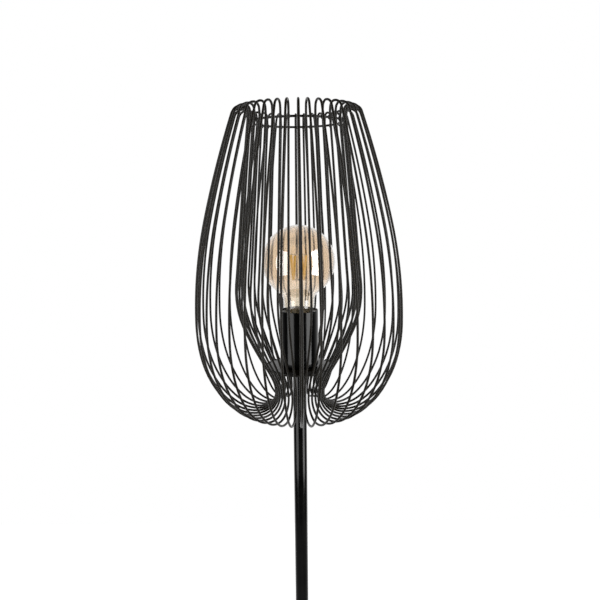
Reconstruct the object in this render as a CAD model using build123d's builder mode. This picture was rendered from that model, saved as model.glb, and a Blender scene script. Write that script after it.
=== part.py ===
"""Floor lamp with a wire cage shade.

A round weighted foot carries a pole in three screwed sections. The head is a cage of closed wire loops,
each in a plane through the lamp's axis, welded to a hub disc and to a top ring. In the cage an E27
lampholder carries a globe bulb. The floor is z = 0 and the lamp's axis is Z. The front of the lamp faces
-Y and the cord bush faces +Y.
"""

import os
from math import cos, pi, radians, sin, sqrt

from build123d import *

# Driving dimensions, in millimetres and degrees
lamp_height = 1500.0  # floor to the top of the cage
fit_gap = 0.05  # all round, between a screwed or pushed-in piece and its seat
run_gap = 0.3  # all round, between pieces that only pass each other

# Foot
base_diameter = 230.0
base_height = 26.0  # floor to the top of the cover
cover_wall = 1.5
cover_edge_radius = 8.0
pad_thickness = 2.0
pad_inset = 5.0  # the pad's edge, inside the cover's edge
weight_web = 5.5  # iron left above the nut pocket
nut_pocket_diameter = 32.0
bush_height = 8.0  # floor to the cord bush's axis
bush_diameter = 9.0
bush_bore = 6.4
bush_flange_diameter = 11.0
bush_flange_thickness = 2.5
bush_tail_length = 6.0
bush_recess = 0.4  # the bush's mouth, inside the cover's edge
bush_edge_radius = 0.4

# Hollow threaded tube, with its nuts and washers
nipple_diameter = 10.0
nipple_bore = 7.0
nipple_grip = 16.0  # length screwed into a pole end
nut_across_flats = 17.0
nut_height = 4.0
base_washer_diameter = 28.0
cup_washer_diameter = 20.0
washer_thickness = 1.5

# Pole
pole_diameter = 15.3
pole_wall = 1.2
pole_end_length = 18.0  # thick, threaded end of each section
pole_end_chamfer = 0.5
pole_names = ("pole_lower", "pole_middle", "pole_upper")

# Cage wires: radii of the wire's centre line, and heights above the middle of the hub disc
wire_count = 38
wire_diameter = 2.45
first_wire_angle = -88.6
cage_top_height = 283.5  # top of the wires
ring_weld_radius = 52.0
ring_weld_drop = 16.3  # below the top of the wires
ring_weld_heading = 96.5
peak_reach = 6.2  # from the ring weld out to the highest point
shoulder_reach = 10.2  # from the highest point out to the end of the bend
shoulder_drop = 7.7  # below the top of the wires
shoulder_heading = -71.0
belly_radius = 113.2
belly_height = 53.6
flank_inset = 21.9  # in from the belly
flank_drop = 75.9  # below the belly
flank_heading = -124.5
bottom_radius = 47.9
bottom_drop = 49.1  # below the hub disc
waist_radius = 27.1
waist_rise = 19.8  # above the lowest point
hub_weld_radius = 37.5
hub_weld_heading = 59.5
inner_belly_radius = 69.0
inner_belly_height = 86.2
inner_leg_inset = 2.1  # in from the inner belly
inner_leg_rise = 25.8  # above the inner belly
inner_leg_heading = 95.5
ring_wire_diameter = 2.45
weld_gap = 0.03  # between a wire and what it is welded to

# Hub disc and socket cup
hub_thickness = 3.0
cup_diameter = 42.8
cup_height = 64.4
cup_wall = 1.2
cup_floor = 1.5
cup_edge_radius = 4.0

# Lampholder, in the cup
holder_height = 55.5
holder_base_height = 19.0  # up to the floor under the centre contact
holder_wire_hole = 7.0
contact_well_diameter = 24.0
shell_diameter = 28.0
shell_wall = 0.5
shell_height = 24.0
shell_seat_height = 26.0  # above the holder's underside
holder_mouth_diameter = 35.8
contact_height = 6.7  # top of the sprung tongue above its floor
contact_width = 6.0
contact_thickness = 0.6
contact_reach = 8.0  # from the axis to the tongue's foot
contact_pad_length = 7.0
contact_bend_radius = 1.0

# Bulb
bulb_diameter = 80.5
bulb_length = 125.5
glass_wall = 1.0
neck_diameter = 34.0
neck_fillet_radius = 12.0
neck_length = 5.5  # straight part, below the fillet
cap_diameter = 26.4
cap_wall = 0.5
cap_height = 19.5
cap_ridge_count = 4
thread_pitch = 3.629
thread_depth = 0.8
glass_plug_length = 6.0
insulator_height = 4.0
insulator_tip_diameter = 13.0
button_diameter = 9.5
button_height = 1.5
stem_foot_diameter = 16.0
stem_foot_height = 14.0
stem_diameter = 6.0
spider_wire_diameter = 1.0
filament_count = 4
filament_diameter = 3.0
filament_top_radius = 9.0
filament_foot_radius = 8.0
filament_top_height = 7.2  # above the middle of the globe
filament_foot_height = -19.2
filament_first_angle = -113.0
filament_twist = -22.0  # from a stick's top to its foot

# Worked out from these: radii
wire_r = wire_diameter / 2
base_r = base_diameter / 2
nipple_hole_r = nipple_diameter / 2 + fit_gap
pole_bore_r = pole_diameter / 2 - pole_wall
cap_r = cap_diameter / 2
cap_bore_r = cap_r - thread_depth - cap_wall
shell_r = shell_diameter / 2

# Worked out from these: heights above the floor
hub_mid_z = lamp_height - cage_top_height
hub_foot_z = hub_mid_z - hub_thickness / 2
hub_top_z = hub_mid_z + hub_thickness / 2
pole_section_length = (hub_foot_z - base_height) / len(pole_names)
weight_top_z = base_height - cover_wall
base_washer_z = weight_top_z - weight_web - washer_thickness
base_nut_z = base_washer_z - nut_height
cup_washer_z = hub_top_z + cup_floor
cup_nut_z = cup_washer_z + washer_thickness
holder_z = cup_nut_z + nut_height
ring_z = lamp_height - ring_weld_drop
contact_floor_z = holder_z + holder_base_height
bulb_tip_z = contact_floor_z + contact_height
insulator_z = bulb_tip_z + button_height
cap_z = insulator_z + insulator_height
cap_top_z = cap_z + cap_height
globe_z = bulb_tip_z + bulb_length - bulb_diameter / 2

os.makedirs("parts", exist_ok=True)


def save(builder, label):
    """Name a finished piece and write it to its own file."""
    builder.part.label = label
    export_step(builder.part, f"parts/{label}.step")


def heading_vector(heading):
    """Unit vector at an angle from the horizontal, in a profile's own plane."""
    return Vector(cos(radians(heading)), sin(radians(heading)))


def biarc_joint(start, start_heading, end, end_heading):
    """Point where two arcs meet that leave start and reach end at the given headings."""
    leave = heading_vector(start_heading)
    arrive = heading_vector(end_heading)
    span = Vector(end) - Vector(start)
    bend = 2 * (1 - leave.dot(arrive))
    along = span.dot(leave + arrive)
    lever = (sqrt(along**2 + bend * span.dot(span)) - along) / bend
    joint = (Vector(start) + Vector(end) + (leave - arrive) * lever) / 2
    return joint.X, joint.Y


# Foot: felt pad
with BuildPart() as base_pad:
    with BuildSketch():
        Circle(base_r - pad_inset)
    extrude(amount=pad_thickness)
save(base_pad, "base_pad")

# Foot: cast weight, with a pocket for the nut and a channel for the cord underneath
with BuildPart() as base_weight:
    with BuildSketch(Plane.XY.offset(pad_thickness)):
        Circle(base_r - cover_wall - run_gap)
    extrude(amount=weight_top_z - pad_thickness)
    fillet(base_weight.edges().group_by(Axis.Z)[-1], radius=cover_edge_radius)
    with BuildSketch(Plane.XY.offset(pad_thickness)):
        Circle(nut_pocket_diameter / 2)
    extrude(amount=weight_top_z - weight_web - pad_thickness, mode=Mode.SUBTRACT)
    channel_width = bush_flange_diameter + 2 * run_gap
    with BuildSketch(Plane.XY.offset(pad_thickness)):
        with Locations((0, base_r / 2)):
            Rectangle(channel_width, base_r)
    extrude(amount=bush_height + channel_width / 2 - pad_thickness, mode=Mode.SUBTRACT)
    with BuildSketch(Plane.XY.offset(weight_top_z)):
        Circle(nipple_hole_r)
    extrude(amount=-weight_top_z, mode=Mode.SUBTRACT)
save(base_weight, "base_weight")

# Foot: pressed cover over the weight, with holes for the nipple and the cord bush
with BuildPart() as base_cover:
    with BuildSketch(Plane.XY.offset(pad_thickness)):
        Circle(base_r)
    extrude(amount=base_height - pad_thickness)
    fillet(base_cover.edges().group_by(Axis.Z)[-1], radius=cover_edge_radius)
    offset(amount=-cover_wall, openings=base_cover.faces().sort_by(Axis.Z)[0])
    with BuildSketch(Plane.XY.offset(base_height)):
        Circle(nipple_hole_r)
    extrude(amount=-2 * cover_wall, mode=Mode.SUBTRACT)
    with BuildSketch(Plane.XZ.offset(-base_r)):
        with Locations((0, bush_height)):
            Circle(bush_diameter / 2 + fit_gap)
    extrude(amount=2 * cover_wall, mode=Mode.SUBTRACT)
save(base_cover, "base_cover")

# Foot: flanged bush that the cord leaves through, turned about its own axis
bush_mouth_y = base_r - bush_recess
bush_flange_y = sqrt((base_r - cover_wall) ** 2 - (bush_flange_diameter / 2) ** 2) - fit_gap
bush_tail_y = bush_flange_y - bush_flange_thickness - bush_tail_length
with BuildPart() as cord_bushing:
    with BuildSketch(Plane.XZ.offset(-bush_mouth_y)):
        with Locations((0, bush_height)):
            Circle(bush_diameter / 2)
    extrude(amount=bush_mouth_y - bush_tail_y)
    with BuildSketch(Plane.XZ.offset(-bush_flange_y)):
        with Locations((0, bush_height)):
            Circle(bush_flange_diameter / 2)
    extrude(amount=bush_flange_thickness)
    with BuildSketch(Plane.XZ.offset(-bush_mouth_y)):
        with Locations((0, bush_height)):
            Circle(bush_bore / 2)
    extrude(amount=bush_mouth_y - bush_tail_y, mode=Mode.SUBTRACT)
    fillet(cord_bushing.edges().group_by(Axis.Y)[-1], radius=bush_edge_radius)
save(cord_bushing, "cord_bushing")

# Hollow threaded nipples: through the foot, at each pole joint, and through the hub and the cup
joint_zs = [base_height + pole_section_length * number for number in range(1, len(pole_names))]
nipple_spans = [(base_nut_z, base_height + nipple_grip)]
nipple_spans += [(joint_z - nipple_grip, joint_z + nipple_grip) for joint_z in joint_zs]
nipple_spans += [(hub_foot_z - nipple_grip, holder_z + nut_height)]
with BuildPart() as threaded_nipples:
    for low, high in nipple_spans:
        with BuildSketch(Plane.XY.offset(low)):
            Circle(nipple_diameter / 2)
            Circle(nipple_bore / 2, mode=Mode.SUBTRACT)
        extrude(amount=high - low)
save(threaded_nipples, "threaded_nipples")

# Lock nuts: under the weight and in the cup
with BuildPart() as lock_nuts:
    for nut_z in (base_nut_z, cup_nut_z):
        with BuildSketch(Plane.XY.offset(nut_z)):
            RegularPolygon(nut_across_flats / 2, 6, major_radius=False)
            Circle(nipple_hole_r, mode=Mode.SUBTRACT)
        extrude(amount=nut_height)
save(lock_nuts, "lock_nuts")

# Washers under the nuts
with BuildPart() as lock_washers:
    for washer_z, diameter in ((base_washer_z, base_washer_diameter), (cup_washer_z, cup_washer_diameter)):
        with BuildSketch(Plane.XY.offset(washer_z)):
            Circle(diameter / 2)
            Circle(nipple_hole_r, mode=Mode.SUBTRACT)
        extrude(amount=washer_thickness)
save(lock_washers, "lock_washers")

# Pole sections: tubes with thick threaded ends
for number, name in enumerate(pole_names):
    foot_z = base_height + number * pole_section_length
    top_z = foot_z + pole_section_length
    with BuildPart() as pole_section:
        with BuildSketch(Plane.XZ):
            with BuildLine():
                Polyline(
                    (nipple_hole_r, foot_z),
                    (pole_diameter / 2 - pole_end_chamfer, foot_z),
                    (pole_diameter / 2, foot_z + pole_end_chamfer),
                    (pole_diameter / 2, top_z - pole_end_chamfer),
                    (pole_diameter / 2 - pole_end_chamfer, top_z),
                    (nipple_hole_r, top_z),
                    (nipple_hole_r, top_z - pole_end_length),
                    (pole_bore_r, top_z - pole_end_length),
                    (pole_bore_r, foot_z + pole_end_length),
                    (nipple_hole_r, foot_z + pole_end_length),
                    close=True,
                )
            make_face()
        revolve(axis=Axis.Z)
    save(pole_section, name)

# Cage: one closed loop of wire, as pairs of tangent arcs through its named points
peak_radius = ring_weld_radius + peak_reach
belly_z = hub_mid_z + belly_height
bottom_z = hub_mid_z - bottom_drop
inner_belly_z = hub_mid_z + inner_belly_height
wire_nodes = [
    ((hub_weld_radius, hub_mid_z), hub_weld_heading),
    ((inner_belly_radius, inner_belly_z), 90),
    ((inner_belly_radius - inner_leg_inset, inner_belly_z + inner_leg_rise), inner_leg_heading),
    ((ring_weld_radius, ring_z), ring_weld_heading),
    ((peak_radius, lamp_height - wire_r), 0),
    ((peak_radius + shoulder_reach, lamp_height - shoulder_drop), shoulder_heading),
    ((belly_radius, belly_z), -90),
    ((belly_radius - flank_inset, belly_z - flank_drop), flank_heading),
    ((bottom_radius, bottom_z), 180),
    ((waist_radius, bottom_z + waist_rise), 90),
]
with BuildPart() as wire_loop:
    with BuildLine(Plane.XZ) as wire_path:
        for (start, leave), (end, arrive) in zip(wire_nodes, wire_nodes[1:] + wire_nodes[:1]):
            joint = biarc_joint(start, leave, end, arrive)
            first_arc = TangentArc(start, joint, tangent=tuple(heading_vector(leave)))
            TangentArc(joint, end, tangent=first_arc % 1)
    wire_start = Plane(wire_path.line @ 0, z_dir=wire_path.line % 0)
    with BuildSketch(wire_start):
        Circle(wire_r)
    sweep()

# Cage: the same loop, turned about the axis
for number in range(wire_count):
    with BuildPart() as cage_wire:
        add(wire_loop.part, rotation=(0, 0, first_wire_angle + number * 360 / wire_count))
    save(cage_wire, f"cage_wire_{number + 1:02d}")

# Cage: ring welded inside the inner legs
ring_r = ring_weld_radius - (wire_r + ring_wire_diameter / 2) / sin(radians(ring_weld_heading)) - weld_gap
with BuildPart() as top_ring:
    with Locations((0, 0, ring_z)):
        Torus(ring_r, ring_wire_diameter / 2)
save(top_ring, "top_ring")

# Cage: hub disc, its rim sloped to lie along the wires
rim_mid_r = hub_weld_radius - wire_r / sin(radians(hub_weld_heading)) - weld_gap
rim_slope = hub_thickness / 2 * cos(radians(hub_weld_heading)) / sin(radians(hub_weld_heading))
with BuildPart() as hub_disc:
    with BuildSketch(Plane.XZ):
        with BuildLine():
            Polyline(
                (nipple_hole_r, hub_foot_z),
                (rim_mid_r - rim_slope, hub_foot_z),
                (rim_mid_r + rim_slope, hub_top_z),
                (nipple_hole_r, hub_top_z),
                close=True,
            )
        make_face()
    revolve(axis=Axis.Z)
save(hub_disc, "hub_disc")

# Head: drawn cup round the lampholder
with BuildPart() as socket_cup:
    with BuildSketch(Plane.XY.offset(hub_top_z)):
        Circle(cup_diameter / 2)
    extrude(amount=cup_height)
    fillet(socket_cup.edges().group_by(Axis.Z)[0], radius=cup_edge_radius)
    with BuildSketch(Plane.XY.offset(cup_washer_z)):
        Circle(cup_diameter / 2 - cup_wall)
    extrude(amount=cup_height - cup_floor, mode=Mode.SUBTRACT)
    with BuildSketch(Plane.XY.offset(hub_top_z)):
        Circle(nipple_hole_r)
    extrude(amount=cup_floor, mode=Mode.SUBTRACT)
save(socket_cup, "socket_cup")

# Lampholder: moulded body with its wire hole, contact well, shell seat and flared mouth
holder_r = cup_diameter / 2 - cup_wall - run_gap
shell_seat_z = holder_z + shell_seat_height
shell_top_z = shell_seat_z + shell_height
holder_top_z = holder_z + holder_height
with BuildPart() as lampholder_body:
    with BuildSketch(Plane.XZ):
        with BuildLine():
            Polyline(
                (nipple_hole_r, holder_z),
                (holder_r, holder_z),
                (holder_r, holder_top_z),
                (holder_mouth_diameter / 2, holder_top_z),
                (shell_r + fit_gap, shell_top_z),
                (shell_r + fit_gap, shell_seat_z),
                (contact_well_diameter / 2, shell_seat_z),
                (contact_well_diameter / 2, contact_floor_z),
                (holder_wire_hole / 2, contact_floor_z),
                (holder_wire_hole / 2, holder_z + nut_height),
                (nipple_hole_r, holder_z + nut_height),
                close=True,
            )
        make_face()
    revolve(axis=Axis.Z)
save(lampholder_body, "lampholder_body")

# Lampholder: screw shell
with BuildPart() as screw_shell:
    with BuildSketch(Plane.XY.offset(shell_seat_z)):
        Circle(shell_r)
        Circle(shell_r - shell_wall, mode=Mode.SUBTRACT)
    extrude(amount=shell_height)
save(screw_shell, "screw_shell")

# Lampholder: centre contact, a strip bent up from its foot to a pad under the bulb
contact_low_z = contact_floor_z + contact_thickness / 2
contact_high_z = bulb_tip_z - contact_thickness / 2
with BuildPart() as centre_contact:
    with BuildSketch(Plane.XZ):
        with BuildLine():
            FilletPolyline(
                (-contact_reach - contact_pad_length / 2, contact_low_z),
                (-contact_reach, contact_low_z),
                (-contact_pad_length / 2, contact_high_z),
                (contact_pad_length / 2, contact_high_z),
                radius=contact_bend_radius,
            )
        trace(line_width=contact_thickness)
    extrude(amount=contact_width / 2, both=True)
save(centre_contact, "centre_contact")

# Bulb: contact button
with BuildPart() as bulb_contact:
    with BuildSketch(Plane.XY.offset(bulb_tip_z)):
        Circle(button_diameter / 2)
    extrude(amount=button_height)
    fillet(bulb_contact.edges().group_by(Axis.Z)[0], radius=button_height / 2)
save(bulb_contact, "bulb_contact")

# Bulb: insulator, a cone between the button and the cap
with BuildPart() as bulb_insulator:
    with BuildSketch(Plane.XY.offset(insulator_z)):
        Circle(insulator_tip_diameter / 2)
    with BuildSketch(Plane.XY.offset(cap_z)):
        Circle(cap_bore_r)
    loft()
save(bulb_insulator, "bulb_insulator")

# Bulb: screw cap, a rolled cup with rounded ridges at the thread's pitch
ridge_half = thread_pitch / 2
ridge_foot_r = cap_r - thread_depth
first_ridge_z = cap_z + cap_wall + ridge_half
with BuildPart() as bulb_cap:
    with BuildSketch(Plane.XY.offset(cap_z)):
        Circle(ridge_foot_r)
    extrude(amount=cap_height)
    for number in range(cap_ridge_count):
        ridge_z = first_ridge_z + number * thread_pitch
        ridge_low = (ridge_foot_r, ridge_z - ridge_half)
        ridge_high = (ridge_foot_r, ridge_z + ridge_half)
        with BuildSketch(Plane.XZ):
            with BuildLine():
                ThreePointArc(ridge_low, (cap_r, ridge_z), ridge_high)
                Polyline(ridge_high, (ridge_foot_r - cap_wall, ridge_z), ridge_low)
            make_face()
        revolve(axis=Axis.Z)
    with BuildSketch(Plane.XY.offset(cap_z + cap_wall)):
        Circle(cap_bore_r)
    extrude(amount=cap_height - cap_wall, mode=Mode.SUBTRACT)
save(bulb_cap, "bulb_cap")


def globe_section(inset):
    """Half section of the globe, its neck and the plug in the cap, drawn in by inset all round."""
    globe_r = bulb_diameter / 2 - inset
    neck_r = neck_diameter / 2 - inset
    fillet_r = neck_fillet_radius + inset
    plug_r = cap_bore_r - fit_gap - inset
    fillet_reach = neck_r + fillet_r
    fillet_drop = sqrt((globe_r + fillet_r) ** 2 - fillet_reach**2)
    meet = Vector(fillet_reach, -fillet_drop) * (globe_r / (globe_r + fillet_r)) + Vector(0, globe_z)
    neck_top = Vector(neck_r, globe_z - fillet_drop)
    neck_foot = neck_top - Vector(0, neck_length)
    plug_foot_z = cap_top_z - glass_plug_length + inset
    with BuildSketch(Plane.XZ) as section:
        with BuildLine():
            globe_arc = TangentArc((0, globe_z + globe_r), meet, tangent=(1, 0))
            TangentArc(meet, neck_top, tangent=globe_arc % 1)
            Polyline(neck_top, neck_foot, (plug_r, cap_top_z), (plug_r, plug_foot_z), (0, plug_foot_z))
            Line((0, plug_foot_z), (0, globe_z + globe_r))
        make_face()
    return section.sketch


# Bulb: hollow glass envelope
with BuildPart() as bulb_glass:
    revolve(globe_section(0), axis=Axis.Z)
    revolve(globe_section(glass_wall), axis=Axis.Z, mode=Mode.SUBTRACT)
save(bulb_glass, "bulb_glass")

# Bulb: glass stem on the floor of the envelope, with a wire spider at each end of the filaments
stem_z = cap_top_z - glass_plug_length + glass_wall + fit_gap
spider_foot_z = globe_z + filament_foot_height - spider_wire_diameter
spider_top_z = globe_z + filament_top_height + spider_wire_diameter
filament_ends = []
for number in range(filament_count):
    top_angle = filament_first_angle + number * 360 / filament_count
    foot_reach = heading_vector(top_angle + filament_twist) * filament_foot_radius
    top_reach = heading_vector(top_angle) * filament_top_radius
    filament_ends.append((foot_reach, top_reach))
with BuildPart() as bulb_stem:
    with BuildSketch(Plane.XY.offset(stem_z)):
        Circle(stem_foot_diameter / 2)
    with BuildSketch(Plane.XY.offset(stem_z + stem_foot_height)):
        Circle(stem_diameter / 2)
    loft()
    with BuildSketch(Plane.XY.offset(stem_z + stem_foot_height)):
        Circle(stem_diameter / 2)
    extrude(amount=spider_foot_z - stem_z - stem_foot_height + spider_wire_diameter)
    with BuildSketch(Plane.XY.offset(spider_foot_z)):
        Circle(spider_wire_diameter)
    extrude(amount=spider_top_z - spider_foot_z + spider_wire_diameter)
    for foot_reach, top_reach in filament_ends:
        for arm_z, reach in ((spider_foot_z, foot_reach), (spider_top_z, top_reach)):
            with BuildSketch(Plane(Vector(0, 0, arm_z), z_dir=reach)):
                Circle(spider_wire_diameter / 2)
            extrude(amount=reach.length + filament_diameter / 2)
save(bulb_stem, "bulb_stem")

# Bulb: filament sticks between the spiders
with BuildPart() as bulb_filaments:
    for foot_reach, top_reach in filament_ends:
        foot = foot_reach + Vector(0, 0, spider_foot_z + spider_wire_diameter / 2 + run_gap)
        top = top_reach + Vector(0, 0, spider_top_z - spider_wire_diameter / 2 - run_gap)
        with BuildSketch(Plane(foot, z_dir=top - foot)):
            Circle(filament_diameter / 2)
        extrude(amount=(top - foot).length)
save(bulb_filaments, "bulb_filaments")

wire_length = wire_path.wire().length
section_volume = wire_length * pi * wire_r**2
print(f"wire loop: {wire_length:.1f} mm long, volume {wire_loop.part.volume:.1f}")
print(f"wire section times length: {section_volume:.1f}")
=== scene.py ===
"""Looks of a floor lamp with a wire cage shade, built round its packed model.

The floor is z = 0, the lamp's axis is Z and the lamp's front faces -Y. Everything is in metres.
"""

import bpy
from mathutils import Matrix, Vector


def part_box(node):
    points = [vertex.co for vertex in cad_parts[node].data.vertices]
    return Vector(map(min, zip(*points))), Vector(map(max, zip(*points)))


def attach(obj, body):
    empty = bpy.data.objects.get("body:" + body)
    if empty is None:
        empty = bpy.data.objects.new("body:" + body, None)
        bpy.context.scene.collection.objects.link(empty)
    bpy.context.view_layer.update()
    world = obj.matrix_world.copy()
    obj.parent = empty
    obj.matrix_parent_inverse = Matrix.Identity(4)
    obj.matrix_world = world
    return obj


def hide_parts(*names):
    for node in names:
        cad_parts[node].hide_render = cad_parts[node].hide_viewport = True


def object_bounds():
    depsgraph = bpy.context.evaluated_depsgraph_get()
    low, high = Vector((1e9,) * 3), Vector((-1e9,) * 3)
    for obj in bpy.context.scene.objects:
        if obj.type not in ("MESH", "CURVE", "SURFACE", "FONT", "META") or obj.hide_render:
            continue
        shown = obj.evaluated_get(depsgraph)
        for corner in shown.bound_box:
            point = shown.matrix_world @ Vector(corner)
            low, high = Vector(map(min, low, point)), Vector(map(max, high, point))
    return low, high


bl_info = {
    "name": "Wire Cage Floor Lamp",
    "version": (1, 0, 0),
    "blender": (4, 5, 0),
    "location": "View3D > Sidebar > Cage Lamp",
    "description": "Builds a floor lamp with a wire cage shade, its finishes and its studio",
    "category": "Add Mesh",
}

from math import atan2, ceil, cos, pi, radians, sin, sqrt, tan

import bmesh
import bpy
from bpy.props import FloatProperty, FloatVectorProperty, IntProperty, PointerProperty
from mathutils import Matrix, Vector

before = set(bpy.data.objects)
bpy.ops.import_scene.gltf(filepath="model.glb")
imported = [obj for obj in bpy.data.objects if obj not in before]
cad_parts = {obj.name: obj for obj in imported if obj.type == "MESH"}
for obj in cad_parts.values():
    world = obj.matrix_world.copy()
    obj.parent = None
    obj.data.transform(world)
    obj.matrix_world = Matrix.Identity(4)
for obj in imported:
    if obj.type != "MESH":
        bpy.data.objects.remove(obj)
cad_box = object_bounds()

MM = 0.001
FULL_TURN = 2 * pi
MERGE_DISTANCE = 0.001 * MM
SHARP_ANGLE = radians(32)
ARC_STEP = radians(6)
ARC_LEAST_STEPS = 3
PATH_STEP = 9 * MM
ROUND_STEPS = 6
LATHE_STEPS = 128
BEAD_SEGMENTS = 10
BEAD_RINGS = 7
BULB_WIRE_SIDES = 12
NOISE_LOW = 0.3
NOISE_HIGH = 0.7
COLOUR_STOPS = (0.35, 0.65)
PHOSPHOR_SHADE = 0.82
METAL_SHADE = 0.86
LIGHT_POWER = 4.0  # watts of an area light for each unit of radiance and square metre


# Settings


def length(label, note, default):
    """A size in metres."""
    return FloatProperty(name=label, description=note, default=default, precision=5, unit="LENGTH")


def angle(label, note, degrees):
    """An angle, given in degrees and kept in radians."""
    return FloatProperty(name=label, description=note, default=radians(degrees), subtype="ANGLE")


def share(label, note, default):
    """A number without a unit."""
    return FloatProperty(name=label, description=note, default=default, min=0)


def count(label, note, default):
    """A whole number."""
    return IntProperty(name=label, description=note, default=default, min=0)


def colour(label, note, default):
    """A linear colour."""
    return FloatVectorProperty(
        name=label, description=note, default=default, size=3, subtype="COLOR", min=0, max=1
    )


class CageSizes(bpy.types.PropertyGroup):
    """Wire loops: radii of the wire's centre line, and heights above the middle of the hub disc"""

    wire_count: count("Wires", "Loops round the cage", 38)
    wire_diameter: length("Wire diameter", "Thickness of the loops' wire", 2.45 * MM)
    wire_sides: count("Wire sides", "Faces round the wire", 12)
    first_wire_angle: angle("First wire", "Angle of the first loop from +X", -88.6)
    wander: angle("Wander", "Largest turn of a loop away from its even place", 0.3)
    lean: angle("Lean", "Largest tilt of a loop about its hub weld", 0.12)
    seed: count("Seed", "Seed of the loops' wander and lean", 4)
    ring_weld_radius: length("Ring weld radius", "Where the wire passes the top ring", 52.0 * MM)
    ring_weld_drop: length("Ring weld drop", "Below the top of the wires", 16.3 * MM)
    ring_weld_heading: angle("Ring weld heading", "Direction at the ring weld", 96.5)
    peak_reach: length("Peak reach", "From the ring weld out to the highest point", 6.2 * MM)
    shoulder_reach: length("Shoulder reach", "From the highest point out to the end of the bend", 10.2 * MM)
    shoulder_drop: length("Shoulder drop", "Below the top of the wires", 7.7 * MM)
    shoulder_heading: angle("Shoulder heading", "Direction at the end of the bend", -71)
    belly_radius: length("Belly radius", "Widest point outside", 113.2 * MM)
    belly_height: length("Belly height", "Widest point outside", 53.6 * MM)
    flank_inset: length("Flank inset", "In from the belly, on the way under", 21.9 * MM)
    flank_drop: length("Flank drop", "Below the belly, on the way under", 75.9 * MM)
    flank_heading: angle("Flank heading", "Direction on the way under", -124.5)
    bottom_radius: length("Bottom radius", "Lowest point", 47.9 * MM)
    bottom_drop: length("Bottom drop", "Below the hub disc", 49.1 * MM)
    waist_radius: length("Waist radius", "Point nearest to the pole", 27.1 * MM)
    waist_rise: length("Waist rise", "Above the lowest point", 19.8 * MM)
    hub_weld_radius: length("Hub weld radius", "Where the wire passes the hub disc", 37.5 * MM)
    hub_weld_heading: angle("Hub weld heading", "Direction at the hub weld", 59.5)
    inner_belly_radius: length("Inner belly radius", "Widest point inside", 69.0 * MM)
    inner_belly_height: length("Inner belly height", "Widest point inside", 86.2 * MM)
    inner_leg_inset: length("Inner leg inset", "In from the inner belly", 2.1 * MM)
    inner_leg_rise: length("Inner leg rise", "Above the inner belly", 25.8 * MM)
    inner_leg_heading: angle("Inner leg heading", "Direction at the start of the inner leg", 95.5)
    bead_length: length("Weld bead length", "Along the wire", 5.2 * MM)
    bead_width: length("Weld bead width", "Across the wire", 3.4 * MM)


class BodySizes(bpy.types.PropertyGroup):
    """Pole, hub disc, socket cup and lampholder"""

    pole_bore: length("Pole bore", "Hole through the pole's thick ends", 10.1 * MM)
    pole_wall: length("Pole wall", "Thickness between the thick ends", 1.2 * MM)
    pole_end: length("Pole end", "Length of a thick end", 18.0 * MM)
    pole_edge: length("Pole edge", "Rounding at the ends of a pole section", 0.5 * MM)
    plate_edge: length("Plate edge", "Rounding of the hub disc's edges", 0.4 * MM)
    cup_wall: length("Cup wall", "Thickness of the cup's wall", 1.2 * MM)
    cup_floor: length("Cup floor", "Thickness of the cup's floor", 1.5 * MM)
    cup_edge: length("Cup edge", "Rounding under the cup", 4.0 * MM)
    cup_lip: length("Cup lip", "Rounding of the cup's rim", 0.5 * MM)
    holder_mouth: length("Lampholder mouth", "Diameter of the flared mouth", 35.8 * MM)
    holder_lip: length("Lampholder lip", "Rounding of the lampholder's rim", 0.4 * MM)
    shell_diameter: length("Screw shell seat", "Diameter of the screw shell's seat", 28.1 * MM)
    well_diameter: length("Contact well", "Diameter of the well under the screw shell", 24.0 * MM)
    lead_hole: length("Lead hole", "Diameter of the hole under the contact well", 7.0 * MM)


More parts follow.
